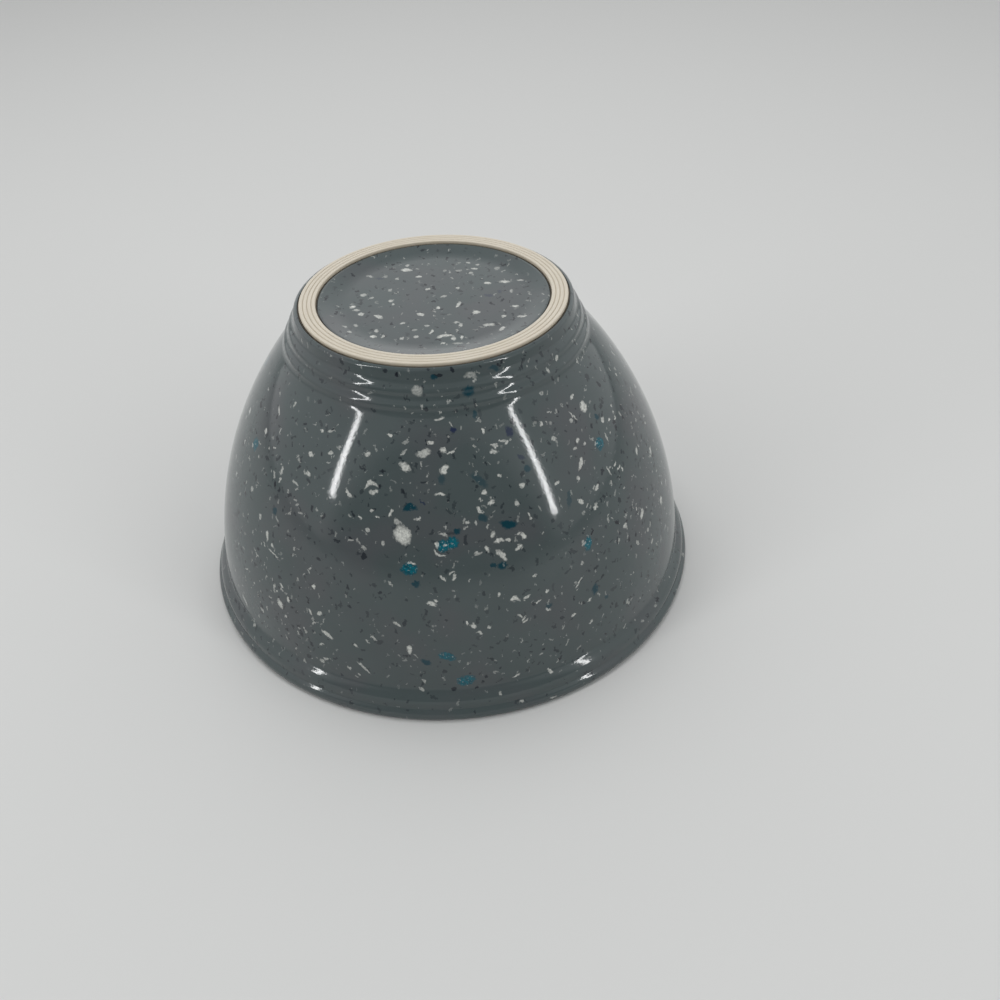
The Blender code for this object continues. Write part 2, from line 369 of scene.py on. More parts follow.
FRONT_WHITE = [
    Chip(402.5, 535.5, 0.0088, 0.0072, 65, 0, 1),
    Chip(397.0, 522.0, 0.0034, 0.0021, 65, 0, 0.6),
    Chip(370.3, 483.0, 0.0064, 0.0022, -12, -3.5, 0.95),
    Chip(374.0, 492.5, 0.0048, 0.0020, -5, 1.5),
    Chip(404.7, 466.6, 0.0056, 0.0034, 38),
    Chip(423.5, 453.0, 0.0064, 0.0035, -15, 0, 0.7),
    Chip(403.8, 451.7, 0.0037, 0.0011, -48, 0, 0.7),
    Chip(430.3, 442.2, 0.0026, 0.0017, 5),
    Chip(367.9, 454.2, 0.0026, 0.0020, -50, 0, 0.75),
    Chip(390.0, 435.0, 0.0018, 0.0015),
    Chip(442.8, 449.7, 0.0026, 0.0023, 20),
    Chip(451.0, 452.5, 0.0064, 0.0008, -15, 7),
    Chip(444.0, 469.5, 0.0048, 0.0030, -50, 0, 0.95),
    Chip(438.9, 419.0, 0.0042, 0.0012, -13),
    Chip(483.6, 431.6, 0.0022, 0.0011, 65),
    Chip(495.0, 445.3, 0.0032, 0.0015, 10),
    Chip(493.8, 451.0, 0.0039, 0.0023, 5),
    Chip(502.5, 440.3, 0.0028, 0.0009, -8, 0, 0.7),
    Chip(505.3, 442.0, 0.0024, 0.0011, 113, 0, 0.75),
    Chip(499.2, 475.6, 0.0022, 0.0014, 45),
    Chip(522.2, 485.5, 0.0026, 0.0020, -40),
    Chip(440.2, 494.1, 0.0047, 0.0014, 8, 0, 0.9),
    Chip(484.8, 492.0, 0.0030, 0.0019, 60),
    Chip(348.4, 493.5, 0.0052, 0.0019, 52, 2),
    Chip(390.6, 513.7, 0.0034, 0.0011, 108),
    Chip(417.4, 519.5, 0.0030, 0.0015, -10),
    Chip(371.5, 511.0, 0.0021, 0.0014, 0, 0, 0.75),
    Chip(377.2, 516.8, 0.0021, 0.0009, 35),
    Chip(360.7, 517.5, 0.0024, 0.0012, 65),
    Chip(367.6, 529.8, 0.0025, 0.0019, 80),
    Chip(383.3, 542.8, 0.0029, 0.0016, 110, 0, 0.6),
    Chip(437.3, 545.0, 0.0029, 0.0019, 80, 0, 0.95),
    Chip(445.3, 545.5, 0.0014, 0.0013),
    Chip(443.8, 534.0, 0.0040, 0.0014, 30, -2, 0.75),
    Chip(445.3, 528.3, 0.0021, 0.0013, 70, 0, 0.65),
    Chip(438.4, 555.1, 0.0060, 0.0011, 30, 4),
    Chip(467.1, 522.5, 0.0019, 0.0017),
    Chip(411.6, 562.3, 0.0035, 0.0011, 10, -3),
    Chip(443.0, 579.0, 0.0033, 0.0014, 45),
    Chip(452.0, 573.0, 0.0036, 0.0013, -25),
    Chip(455.0, 577.0, 0.0032, 0.0013, 120),
    Chip(431.5, 604.0, 0.0043, 0.0023, 5, 0, 0.9),
    Chip(436.0, 600.6, 0.0022, 0.0009, 15),
    Chip(390.2, 584.1, 0.0028, 0.0009, 60, 0, 0.6),
    Chip(480.2, 510.3, 0.0043, 0.0015, 42, 0, 0.95),
    Chip(491.3, 502.7, 0.0031, 0.0024, -35),
    Chip(517.0, 503.6, 0.0024, 0.0021),
    Chip(480.6, 499.2, 0.0025, 0.0009, 75, 0, 0.7),
    Chip(529.0, 514.5, 0.0026, 0.0008, 60, 0, 0.75),
    Chip(530.7, 519.3, 0.0019, 0.0010, 90),
    Chip(493.0, 534.4, 0.0034, 0.0018, 105),
    Chip(498.8, 540.8, 0.0044, 0.0023, -12, 0, 0.95),
    Chip(507.8, 539.7, 0.0030, 0.0014, 5, 0, 0.9),
    Chip(523.2, 536.0, 0.0030, 0.0023, 60, 0, 0.9),
    Chip(519.3, 533.6, 0.0022, 0.0009, -35),
    Chip(519.3, 547.8, 0.0043, 0.0018, -32, 0, 0.95),
    Chip(501.7, 555.0, 0.0063, 0.0023, 43),
    Chip(488.0, 548.5, 0.0029, 0.0014, 60),
    Chip(478.0, 553.4, 0.0038, 0.0012, -12, 0, 0.75),
    Chip(475.3, 523.3, 0.0025, 0.0009, 75, 0, 0.65),
    Chip(535.0, 575.0, 0.0025, 0.0012, -30, -2, 0.75),
    Chip(546.8, 591.0, 0.0021, 0.0015, 100),
    Chip(515.2, 598.0, 0.0044, 0.0018, 0, -3, 0.95),
    Chip(526.5, 597.5, 0.0036, 0.0012, -40),
    Chip(538.0, 602.0, 0.0031, 0.0009, -30, 2),
    Chip(498.5, 594.8, 0.0023, 0.0014, 110),
    Chip(409.2, 649.7, 0.0046, 0.0024, 85, 0, 0.95),
    Chip(474.0, 625.0, 0.0030, 0.0011, 60, 0, 0.7),
    Chip(523.5, 618.5, 0.0034, 0.0010, 110, 0, 0.8),
    Chip(548.0, 609.5, 0.0034, 0.0012, 15, 2, 0.7),
    Chip(500.5, 693.0, 0.0022, 0.0014, 80, 0, 0.6),
    Chip(521.5, 701.5, 0.0022, 0.0016, 0, 0, 0.6),
    Chip(553.5, 697.0, 0.0036, 0.0014, -12, 0, 0.6),
    Chip(397.0, 624.0, 0.0042, 0.0015, 40, 0, 0.8),
    Chip(467.3, 623.7, 0.0027, 0.0014, 62, 0, 0.95),
    Chip(473.8, 626.0, 0.0031, 0.0017, 25, 0, 0.95),
    Chip(479.6, 632.5, 0.0025, 0.0010, 3, 0, 0.9),
    Chip(488.8, 627.5, 0.0019, 0.0013, -45),
    Chip(519.9, 616.0, 0.0031, 0.0010, 50),
    Chip(525.2, 621.0, 0.0031, 0.0011, -40),
    Chip(516.5, 675.2, 0.0040, 0.0014, -28),
    Chip(417.2, 390.8, 0.0048, 0.0042, 30, 0, 0.5),
    Chip(470.5, 374.6, 0.0056, 0.0030, 0, -1, 0.5),
    Chip(474.8, 380.5, 0.0026, 0.0012, 90, 0, 0.5),
]
RIGHT_WHITE = [
    Chip(583.5, 406.5, 0.0050, 0.0043, 80, 0, 1),
    Chip(572.0, 396.5, 0.0036, 0.0013, 110),
    Chip(572.8, 415.2, 0.0054, 0.0008, 48, 0, 0.75),
    Chip(571.6, 421.0, 0.0023, 0.0017, -40, 0, 0.6),
    Chip(553.7, 438.7, 0.0023, 0.0021, 0, 0, 0.75),
    Chip(577.4, 440.5, 0.0027, 0.0016, 100),
    Chip(584.0, 443.6, 0.0022, 0.0012, 110),
    Chip(574.7, 448.5, 0.0026, 0.0011, -15, 0, 0.6),
    Chip(580.6, 463.5, 0.0058, 0.0021, 98, 0, 0.9),
    Chip(540.7, 423.7, 0.0026, 0.0013, 75, 0, 0.75),
    Chip(602.6, 419.8, 0.0031, 0.0022, 60, 0, 0.9),
    Chip(611.4, 405.3, 0.0018, 0.0012, 70),
    Chip(613.3, 412.2, 0.0019, 0.0013, 40),
    Chip(609.5, 419.5, 0.0021, 0.0013, -20),
    Chip(615.0, 417.5, 0.0024, 0.0011, 100),
    Chip(606.8, 437.4, 0.0046, 0.0009, 65, 0, 0.7),
    Chip(608.8, 470.7, 0.0056, 0.0009, 62),
    Chip(615.3, 463.5, 0.0029, 0.0011, 115),
    Chip(618.7, 468.0, 0.0032, 0.0011, 115),
    Chip(622.0, 468.8, 0.0023, 0.0011, 60),
    Chip(636.5, 451.0, 0.0050, 0.0018, 80),
    Chip(650.5, 451.0, 0.0050, 0.0024, 82, 0, 0.7),
    Chip(661.0, 500.0, 0.0046, 0.0034, 94),
    Chip(642.0, 513.5, 0.0054, 0.0026, 100),
    Chip(625.5, 525.5, 0.0038, 0.0022, 0, -2, 0.8),
    Chip(648.0, 530.0, 0.0022, 0.0022, -30, 0, 0.6),
    Chip(652.0, 541.0, 0.0034, 0.0016, 110, 0, 0.7),
    Chip(596.5, 488.0, 0.0038, 0.0018, -55),
    Chip(577.8, 478.4, 0.0022, 0.0020),
    Chip(556.7, 482.6, 0.0027, 0.0015, -40),
    Chip(580.4, 501.3, 0.0036, 0.0017, 30, 0, 0.9),
    Chip(595.4, 506.7, 0.0037, 0.0021, 100),
    Chip(579.6, 582.0, 0.0066, 0.0008, 122, 0, 0.75),
    Chip(589.5, 600.0, 0.0032, 0.0011, -45),
    Chip(573.5, 615.0, 0.0027, 0.0012, -30, 0, 0.95),
    Chip(590.7, 622.0, 0.0026, 0.0011, -42, 0, 0.75),
    Chip(550.1, 671.0, 0.0031, 0.0019, 30, 0, 0.9),
    Chip(557.0, 357.5, 0.0026, 0.0024, 90, 0, 0.8),
    Chip(547.5, 370.0, 0.0034, 0.0015, 60, 0, 0.6),
]
LEFT_WHITE_AND_HIGHLIGHT = [
    Chip(249.9, 410.8, 0.0040, 0.0024, 100, 0, 0.7),
    Chip(278.9, 410.8, 0.0053, 0.0016, 92, 0, 0.7),
    Chip(294.7, 405.0, 0.0032, 0.0016, 115, 0, 0.6),
    Chip(266.0, 430.7, 0.0027, 0.0023, 80),
    Chip(310.8, 454.3, 0.0025, 0.0024),
    Chip(330.7, 453.0, 0.0026, 0.0019, -30),
    Chip(332.0, 431.5, 0.0040, 0.0010, 0, 0, 0.75),
    Chip(322.0, 431.1, 0.0020, 0.0016, 20),
    Chip(307.8, 473.6, 0.0027, 0.0022, 20, 0, 0.75),
    Chip(282.2, 470.5, 0.0040, 0.0016, 100, 0, 0.7),
    Chip(274.3, 474.6, 0.0032, 0.0014, 85, 0, 0.75),
    Chip(280.0, 479.6, 0.0028, 0.0013, 125, 0, 0.7),
    Chip(295.5, 483.0, 0.0048, 0.0011, 38, 0, 0.6),
    Chip(252.0, 488.7, 0.0023, 0.0026, 90, 0, 0.6),
    Chip(260.2, 516.0, 0.0032, 0.0022, 80, 0, 0.7),
    Chip(267.1, 535.7, 0.0049, 0.0020, 92),
    Chip(272.0, 545.5, 0.0022, 0.0023),
    Chip(273.3, 553.3, 0.0074, 0.0010, 47),
    Chip(280.1, 603.8, 0.0051, 0.0027, 62, 0, 0.95),
    Chip(288.2, 599.2, 0.0031, 0.0019, 80),
    Chip(285.5, 616.0, 0.0023, 0.0015, 20),
    Chip(281.7, 585.4, 0.0028, 0.0013, 60),
    Chip(274.8, 586.0, 0.0035, 0.0012, 100, 0, 0.6),
    Chip(313.8, 587.0, 0.0029, 0.0016, 55, 0, 0.95),
    Chip(310.7, 611.8, 0.0032, 0.0013, 60),
    Chip(319.2, 613.4, 0.0037, 0.0017, -12),
    Chip(327.2, 634.4, 0.0062, 0.0021, 42, 0, 0.9),
    Chip(321.5, 643.6, 0.0030, 0.0013, 0, -2),
    Chip(364.5, 668.0, 0.0088, 0.0012, 44, 0, 0.75),
    Chip(322.0, 660.5, 0.0030, 0.0022, -20, 0, 0.7),
    Chip(326.0, 658.5, 0.0024, 0.0014, 20, 0, 0.7),
    Chip(349.5, 668.0, 0.0028, 0.0015, 60, 0, 0.7),
    Chip(359.0, 674.5, 0.0022, 0.0014, 45, 0, 0.7),
    Chip(356.0, 645.5, 0.0024, 0.0016, 40, 0, 0.8),
    Chip(373.5, 637.5, 0.0034, 0.0016, 45, 0, 0.75),
    Chip(367.5, 642.0, 0.0026, 0.0012, 45, 0, 0.6),
    Chip(424.5, 681.0, 0.0030, 0.0015, 50, -2, 0.65),
    Chip(421.5, 688.5, 0.0028, 0.0014, 40, 0, 0.6),
    # This long thin white mark on the rim's cove, on the left, is a painted highlight, not a chip.
    Chip(245.0, 600.0, 0.0080, 0.0016, 66, 0, 0.7),
    Chip(262.5, 610.0, 0.0030, 0.0024, 60, 0, 0.6),
    Chip(254.5, 624.5, 0.0022, 0.0020, 0, 0, 0.6),
]
BASE_WHITE = [
    Chip(406.5, 270.0, 0.0064, 0.0030, 3),
    Chip(418.6, 276.7, 0.0028, 0.0022, 15),
    Chip(370.0, 276.3, 0.0042, 0.0020, 12, 0, 0.5),
    Chip(428.1, 288.9, 0.0027, 0.0019, -12),
    Chip(363.7, 295.0, 0.0035, 0.0028, 0, 0, 0.65),
    Chip(352.4, 306.9, 0.0031, 0.0024, 8, 0, 0.95),
    Chip(355.9, 310.4, 0.0034, 0.0022, -5, 0, 0.7),
    Chip(360.6, 314.2, 0.0028, 0.0028),
    Chip(379.0, 316.5, 0.0054, 0.0024, 24, -1.5),
    Chip(420.5, 314.6, 0.0032, 0.0030, 12, 0, 0.9),
    Chip(438.1, 307.7, 0.0019, 0.0028),
    Chip(402.5, 323.0, 0.0028, 0.0020, -12, 0, 0.7),
    Chip(390.9, 300.8, 0.0024, 0.0024, 0, 0, 0.7),
    Chip(373.3, 336.4, 0.0027, 0.0028, 0, 0, 1),
    Chip(376.3, 331.0, 0.0034, 0.0016, -60, 0, 0.75),
    Chip(383.2, 336.4, 0.0030, 0.0018, -30, 0, 0.7),
    Chip(431.4, 331.8, 0.0045, 0.0016, 112),
    Chip(444.8, 335.6, 0.0076, 0.0026, -7, -1.5),
    Chip(453.5, 338.5, 0.0024, 0.0032, 0, 0, 0.95),
    Chip(462.1, 337.5, 0.0018, 0.0028, 0, 0, 1),
    Chip(443.0, 343.3, 0.0018, 0.0020),
    Chip(468.2, 262.7, 0.0028, 0.0018, 32, 0, 0.7),
    Chip(477.6, 264.5, 0.0022, 0.0020, 0, 0, 0.7),
    Chip(474.7, 268.7, 0.0028, 0.0018, 0, 0, 0.75),
    Chip(487.7, 283.0, 0.0042, 0.0022, 10),
    Chip(504.9, 281.7, 0.0052, 0.0024, 5),
    Chip(520.0, 280.1, 0.0030, 0.0016, 0, 0, 0.7),
    Chip(457.3, 288.0, 0.0019, 0.0024, -35, 0, 0.7),
    Chip(443.2, 296.2, 0.0038, 0.0018, -23, 0, 0.55),
    Chip(458.6, 304.6, 0.0050, 0.0017, -60),
    Chip(475.5, 312.5, 0.0042, 0.0024, -22),
    Chip(515.3, 306.2, 0.0033, 0.0020, -2),
    Chip(503.8, 316.1, 0.0017, 0.0024, 0, 0, 0.9),
    Chip(522.3, 316.3, 0.0042, 0.0019, 0, 1.5, 0.8),
    Chip(489.2, 324.7, 0.0052, 0.0024, -2, 0, 0.7),
    Chip(502.1, 328.5, 0.0050, 0.0022, -40, 0, 0.75),
    Chip(456.5, 322.4, 0.0024, 0.0020, 0, 0, 0.75),
    Chip(407.7, 265.6, 0.0020, 0.0028, 0, 0, 0.6),
    Chip(397.4, 278.6, 0.0020, 0.0024, 0, 0, 0.6),
    Chip(385.5, 276.7, 0.0026, 0.0028, 0, 0, 0.4),
    Chip(371.7, 298.1, 0.0022, 0.0020, 0, 0, 0.6),
    Chip(390.1, 290.1, 0.0020, 0.0028, 0, 0, 0.5),
    Chip(393.1, 304.2, 0.0018, 0.0020, 0, 0, 0.7),
    Chip(427.2, 325.7, 0.0022, 0.0020, 0, 0, 0.6),
    Chip(355.7, 325.3, 0.0028, 0.0018, 35, 0, 0.6),
    Chip(344.9, 326.8, 0.0028, 0.0016, 35, 0, 0.6),
    Chip(349.5, 331.8, 0.0020, 0.0020, 0, 0, 0.6),
    Chip(416.1, 336.8, 0.0018, 0.0024, 0, 0, 0.7),
    Chip(401.6, 338.3, 0.0020, 0.0028, 0, 0, 0.7),
    Chip(470.5, 272.9, 0.0018, 0.0024, 0, 0, 0.6),
    Chip(459.0, 270.6, 0.0028, 0.0022, 0, 0, 0.4),
    Chip(444.9, 270.6, 0.0022, 0.0028, 0, 0, 0.4),
    Chip(496.9, 268.3, 0.0028, 0.0036, 0, 0, 0.4),
    Chip(511.0, 290.9, 0.0036, 0.0014, 90, 0, 0.5),
    Chip(460.6, 324.9, 0.0018, 0.0024, 0, 0, 0.7),
    Chip(458.3, 343.3, 0.0044, 0.0018, 0, 0, 0.4),
]
TEAL_CHIPS = [
    Chip(599.6, 443.2, 0.0062, 0.0054, 100, 0, 1),
    Chip(443.4, 546.2, 0.0054, 0.0052, 0, 0, 0.95),
    Chip(451.8, 543.2, 0.0058, 0.0052, -20, 0, 0.95),
    Chip(408.9, 568.8, 0.0066, 0.0060, 0, 0, 1),
    Chip(447.4, 656.6, 0.0078, 0.0042, 12, 0, 0.9),
    Chip(466.6, 680.3, 0.0085, 0.0062, -10, 0, 0.9),
    Chip(588.0, 543.5, 0.0068, 0.0042, 95, 0, 0.95),
    Chip(255.7, 443.9, 0.0062, 0.0058, 95, 0, 0.75),
]
DEEP_TEAL_CHIPS = [
    Chip(508.6, 524.8, 0.0084, 0.0038, 2, 1, 1),
    Chip(409.7, 506.5, 0.0064, 0.0032, -8, -1.5, 1),
    Chip(502.4, 565.4, 0.0046, 0.0034, 0, 0, 1),
    Chip(493.3, 565.4, 0.0034, 0.0017, 8),
    Chip(426.0, 662.3, 0.0055, 0.0032, 20, 0, 0.95),
    Chip(472.3, 678.0, 0.0031, 0.0026),
    Chip(594.9, 589.1, 0.0056, 0.0034, 95, 0, 0.95),
    Chip(415.9, 583.8, 0.0038, 0.0036, 0, 0, 0.95),
    Chip(456.8, 531.3, 0.0032, 0.0028, 0, 0, 0.95),
    Chip(474.5, 415.0, 0.0038, 0.0022, 75, 0, 0.7),
    Chip(527.0, 468.6, 0.0036, 0.0034, 0, 0, 0.8),
    Chip(479.3, 480.0, 0.0094, 0.0034, 38, 0, 0.5),
    Chip(441.5, 479.1, 0.0046, 0.0032, 80, 0, 0.5),
    Chip(596.5, 416.4, 0.0036, 0.0026, 40, 0, 0.95),
    Chip(569.3, 498.6, 0.0086, 0.0024, 91, 0, 0.55),
    Chip(549.0, 606.0, 0.0040, 0.0030, -30, 0, 0.7),
    Chip(606.6, 596.6, 0.0026, 0.0022, 0, 0, 0.7),
    Chip(483.3, 517.8, 0.0048, 0.0032, 20, 0, 0.65),
    Chip(274.8, 510.7, 0.0034, 0.0034, 0, 0, 0.85),
    Chip(468.8, 391.8, 0.0058, 0.0048, -20, 0, 0.95),
    Chip(494.0, 368.0, 0.0048, 0.0026, 10, 0, 0.7),
    Chip(433.7, 377.0, 0.0026, 0.0025, 0, 0, 0.95),
]
NAVY_CHIPS = [
    Chip(453.3, 430.0, 0.0026, 0.0025, 0, 0, 1),
    Chip(509.1, 431.3, 0.0052, 0.0036, 62, 0, 0.85),
    Chip(521.2, 456.8, 0.0039, 0.0020, 25, 0, 0.6),
    Chip(422.3, 502.2, 0.0038, 0.0009, 48, 0, 0.7),
    Chip(379.4, 278.6, 0.0036, 0.0020, 0, 0, 0.5),
    Chip(488.9, 295.4, 0.0050, 0.0026, 5, 0, 0.5),
    Chip(499.2, 291.6, 0.0022, 0.0032, 0, 0, 0.45),
]
BLACK_CHIPS = [
    Chip(382.7, 471.1, 0.0020, 0.0018),
    Chip(379.9, 486.1, 0.0018, 0.0017),
    Chip(402.8, 491.8, 0.0026, 0.0016, 60),
    Chip(355.0, 460.6, 0.0026, 0.0013, 90, 0, 0.7),
    Chip(417.0, 529.0, 0.0030, 0.0010, 95, 0, 0.7),
    Chip(448.7, 500.7, 0.0026, 0.0009, 115, 0, 0.7),
    Chip(453.7, 513.0, 0.0030, 0.0008, 85, 0, 0.6),
    Chip(380.2, 592.5, 0.0022, 0.0016),
    Chip(453.9, 688.7, 0.0022, 0.0018),
    Chip(445.1, 671.5, 0.0030, 0.0017, 0, 0, 0.6),
    Chip(486.5, 676.5, 0.0018, 0.0016),
    Chip(483.0, 681.4, 0.0017, 0.0015),
    Chip(476.5, 687.2, 0.0018, 0.0014),
    Chip(543.6, 648.8, 0.0022, 0.0013, -20),
    Chip(559.3, 659.1, 0.0022, 0.0016),
    Chip(577.3, 660.3, 0.0022, 0.0017),
    Chip(318.0, 558.3, 0.0028, 0.0014, 35),
    Chip(351.0, 539.0, 0.0026, 0.0015, 55),
    Chip(347.5, 587.7, 0.0030, 0.0013, 65),
    Chip(349.4, 606.3, 0.0022, 0.0013, 45),
    Chip(291.6, 606.9, 0.0022, 0.0016),
    Chip(287.0, 629.1, 0.0022, 0.0018),
    Chip(522.0, 364.5, 0.0048, 0.0009, 92, 0, 0.8),
]

melamine.use_nodes = True
paint = melamine.node_tree
gloss = paint.nodes["Principled BSDF"]
at = feed(paint, "ShaderNodeTexCoord")["Object"]


def vectors(operation, *parts):
    """A sum with vectors, in the tree that its fed sockets belong to."""
    tree = next(part.id_data for part in parts if isinstance(part, bpy.types.NodeSocket))
    return feed(tree, "ShaderNodeVectorMath", *parts, operation=operation)[0]


def measured(operation, *parts):
    """A length or another number taken from vectors."""
    tree = next(part.id_data for part in parts if isinstance(part, bpy.types.NodeSocket))
    return feed(tree, "ShaderNodeVectorMath", *parts, operation=operation)[1]


def noise(place, size, detail=2):
    """Noise with lumps of about the given size, as a number and as a colour."""
    return feed(place.id_data, "ShaderNodeTexNoise", place, None, 1 / size, detail)


class Span(NamedTuple):
    """How a number follows another: from low to high while the other runs from start to end."""
    start: float
    end: float
    low: float
    high: float


def spanned(number, span):
    """A number that follows another over a span, and stays level beyond the span's ends."""
    return feed(number.id_data, "ShaderNodeMapRange", number, *span)[0]


def shifted(place, chance, reach):
    """A place pushed about by a chance colour, by up to about half the reach."""
    push = vectors("SUBTRACT", chance, (0.5, 0.5, 0.5))
    return vectors("MULTIPLY_ADD", push, (reach, reach, reach), place)


def over(below, above, share):
    """One colour laid over another by a share."""
    unused = [None] * 4
    return feed(share.id_data, "ShaderNodeMix", share, None, *unused, below, above, data_type="RGBA")[2]


def group_of(name, inputs, output):
    """An empty shader group with the named sockets, and the sockets that its input node offers."""
    tree = bpy.data.node_groups.new(name, "ShaderNodeTree")
    for label in inputs:
        vector = label in ("Place", "Middle", "Along", "Across", "Outward", "Size")
        kind = "NodeSocketVector" if vector else "NodeSocketFloat"
        tree.interface.new_socket(label, in_out="INPUT", socket_type=kind)
    tree.interface.new_socket(output, in_out="OUTPUT", socket_type="NodeSocketFloat")
    return tree, feed(tree, "NodeGroupInput")


PLACED_CHIP_DEPTH = 0.006
PLACED_CHIP_START = 0.31
PLACED_CHIP_FULL = 0.11


def placed_chip():
    """Shader group: one chip that lies in the surface at a known place, its axes divided by its size."""
    tree, (place, middle, along_axis, across_axis, outward_axis, bend, show, _) = group_of(
        "placed chip", ["Place", "Middle", "Along", "Across", "Outward", "Bend", "Show"], "Chip",
    )
    from_middle = vectors("SUBTRACT", place, middle)
    along = measured("DOT_PRODUCT", from_middle, along_axis)
    across = measured("DOT_PRODUCT", from_middle, across_axis)
    outward = measured("DOT_PRODUCT", from_middle, outward_axis)
    along_squared = sums("MULTIPLY", along, along)
    bent = sums("MULTIPLY_ADD", bend, along_squared, across)
    reach = sums("MULTIPLY_ADD", bent, bent, along_squared)
    reach = sums("MULTIPLY_ADD", outward, outward, reach)
    edge = Span(PLACED_CHIP_START, PLACED_CHIP_FULL, 0, show)
    inside = feed(tree, "ShaderNodeMapRange", reach, *edge, clamp=False)[0]
    feed(tree, "NodeGroupOutput", sums("MINIMUM", inside, show))
    return tree


STREWN_CHIP_START = 0.56
STREWN_CHIP_FULL = 0.45
SMALLEST_SHARE = 0.35
SMALL_CHIPS_FAVOUR = 1.5


def strewn_chips():
    """Shader group: flat chips strewn in the resin, each turned, curled, sized and veiled by chance."""
    tree, (place, cell, size, curl, share, veil, _) = group_of(
        "strewn chips", ["Place", "Cell", "Size", "Curl", "Share", "Veil"], "Chip",
    )
    cells = feed(tree, "ShaderNodeTexVoronoi", place, None, sums("DIVIDE", 1, cell))
    chance = cells["Color"]
    turns = vectors("MULTIPLY", chance, (math.tau, math.tau, math.tau))
    from_middle = vectors("SUBTRACT", place, cells["Position"])
    lying = feed(
        tree, "ShaderNodeVectorRotate", from_middle, None, None, None, turns, rotation_type="EULER_XYZ",
    )[0]
    veil_chance, chances = feed(tree, "ShaderNodeTexWhiteNoise", chance, noise_dimensions="3D")
    present_chance, curl_chance, size_chance = feed(tree, "ShaderNodeSeparateXYZ", chances)
    mostly_small = sums("POWER", size_chance, SMALL_CHIPS_FAVOUR)
    grown = sums("MULTIPLY_ADD", mostly_small, 1 - SMALLEST_SHARE, SMALLEST_SHARE)
    full_size = vectors("DIVIDE", lying, size)
    sized = vectors("DIVIDE", full_size, feed(tree, "ShaderNodeCombineXYZ", grown, grown, grown)[0])
    along, across, through = feed(tree, "ShaderNodeSeparateXYZ", sized)
    curled = sums("MULTIPLY", curl, sums("MULTIPLY_ADD", curl_chance, 2, -1))
    along_squared = sums("MULTIPLY", along, along)
    bent = sums("MULTIPLY_ADD", curled, along_squared, through)
    reach = sums("SQRT", sums("MULTIPLY_ADD", across, across, along_squared))
    reach = sums("MAXIMUM", reach, sums("ABSOLUTE", bent))
    inside = spanned(reach, Span(STREWN_CHIP_START, STREWN_CHIP_FULL, 0, 1))
    present = sums("MULTIPLY", inside, sums("LESS_THAN", present_chance, share))
    veiled = spanned(veil_chance, Span(0, 1, veil, 1))
    feed(tree, "NodeGroupOutput", sums("MULTIPLY", present, veiled))
    return tree


hull = BVHTree.FromPolygons(
    [vertex.co for vertex in bowl.data.vertices], [face.vertices for face in bowl.data.polygons],
)
placed = placed_chip()
strewn = strewn_chips()


def placed_layer(chips):
    """How far the surface is covered by chips that each lie where the photograph shows them."""
    cover = 0
    for chip in chips:
        ray = sight * FOCAL_LENGTH_PIXELS
        ray += photo_right * (chip.across - PHOTO_SIDE / 2) + photo_down * (chip.down - PHOTO_SIDE / 2)
        middle, outward, _, _ = hull.ray_cast(CAMERA_PLACE, ray)
        turn = math.radians(chip.turn)
        drawn = photo_right * math.cos(turn) + photo_down * math.sin(turn)
        along = (drawn - ray * drawn.dot(outward) / ray.dot(outward)).normalized()
        across = along.cross(outward)
        spot = feed(
            paint, "ShaderNodeGroup", ragged, middle, along / chip.length, across / chip.width,
            outward / PLACED_CHIP_DEPTH, chip.bend, chip.show, node_tree=placed,
        )[0]
        cover = sums("MAXIMUM", cover, spot)
    return cover


class Strewn(NamedTuple):
    """A kind of strewn chip: its cells' offset and size, its largest size, curl and faintest show."""
    offset: float
    cell: float
    size: tuple
    curl: float
    veil: float


def strewn_layer(kind, share):
    """How far the surface is covered by chips of one kind, strewn by chance in a share of their cells."""
    moved = vectors("ADD", ragged, (kind.offset, kind.offset, kind.offset))
    return feed(
        paint, "ShaderNodeGroup", moved, kind.cell, kind.size, kind.curl, share, kind.veil,
        node_tree=strewn,
    )[0]


def back_layer(kind, share):
    """A strewn layer for the bowl's back half only."""
    return strewn_layer(kind, sums("MULTIPLY", unseen_crowd, share))


EDGE_CORNER_SIZE = 0.0011
EDGE_CORNER_REACH = 0.0007
EDGE_WAVE_SIZE = 0.0030
EDGE_WAVE_REACH = 0.0016
angular = feed(paint, "ShaderNodeTexVoronoi", at, None, 1 / EDGE_CORNER_SIZE)["Color"]
waved = shifted(at, noise(at, EDGE_WAVE_SIZE)[1], EDGE_WAVE_REACH)
ragged = shifted(waved, angular, EDGE_CORNER_REACH)

TO_BACK = Span(-0.012, 0.012, 0, 1)
TO_WALL = Span(base_floor - 0.001, base_floor - 0.002, 0, 1)
CROWD_SIZE = 0.030
CROWDING = Span(0.35, 0.65, 0.35, 1)
RIM_THINNING = Span(RIM_BEAD_HEIGHT, RIM_BEAD_HEIGHT + 0.02, 0.25, 1)
TO_SIDES = Span(0.03, 0.10, 0.5, 0.95)
side, depth, height = feed(paint, "ShaderNodeSeparateXYZ", at)
behind = spanned(depth, TO_BACK)
below_base = spanned(height, TO_WALL)
unseen = sums("MULTIPLY", behind, below_base)
thick_and_thin = spanned(noise(at, CROWD_SIZE)[0], CROWDING)
above_rim = spanned(height, RIM_THINNING)
crowd = sums("MULTIPLY", thick_and_thin, above_rim)
unseen_crowd = sums("MULTIPLY", unseen, crowd)
to_sides = spanned(sums("ABSOLUTE", side), TO_SIDES)

CLOUD_SIZE = 0.020
WARM_SIZE = 0.026
WARMING = Span(0.45, 0.7, 0, 0.7)
cloud = noise(at, CLOUD_SIZE, detail=3)[0]
colour = over(RESIN_DEEP, RESIN, cloud)
warm = spanned(noise(at, WARM_SIZE, detail=1)[0], WARMING)
colour = over(colour, RESIN_WARM, warm)

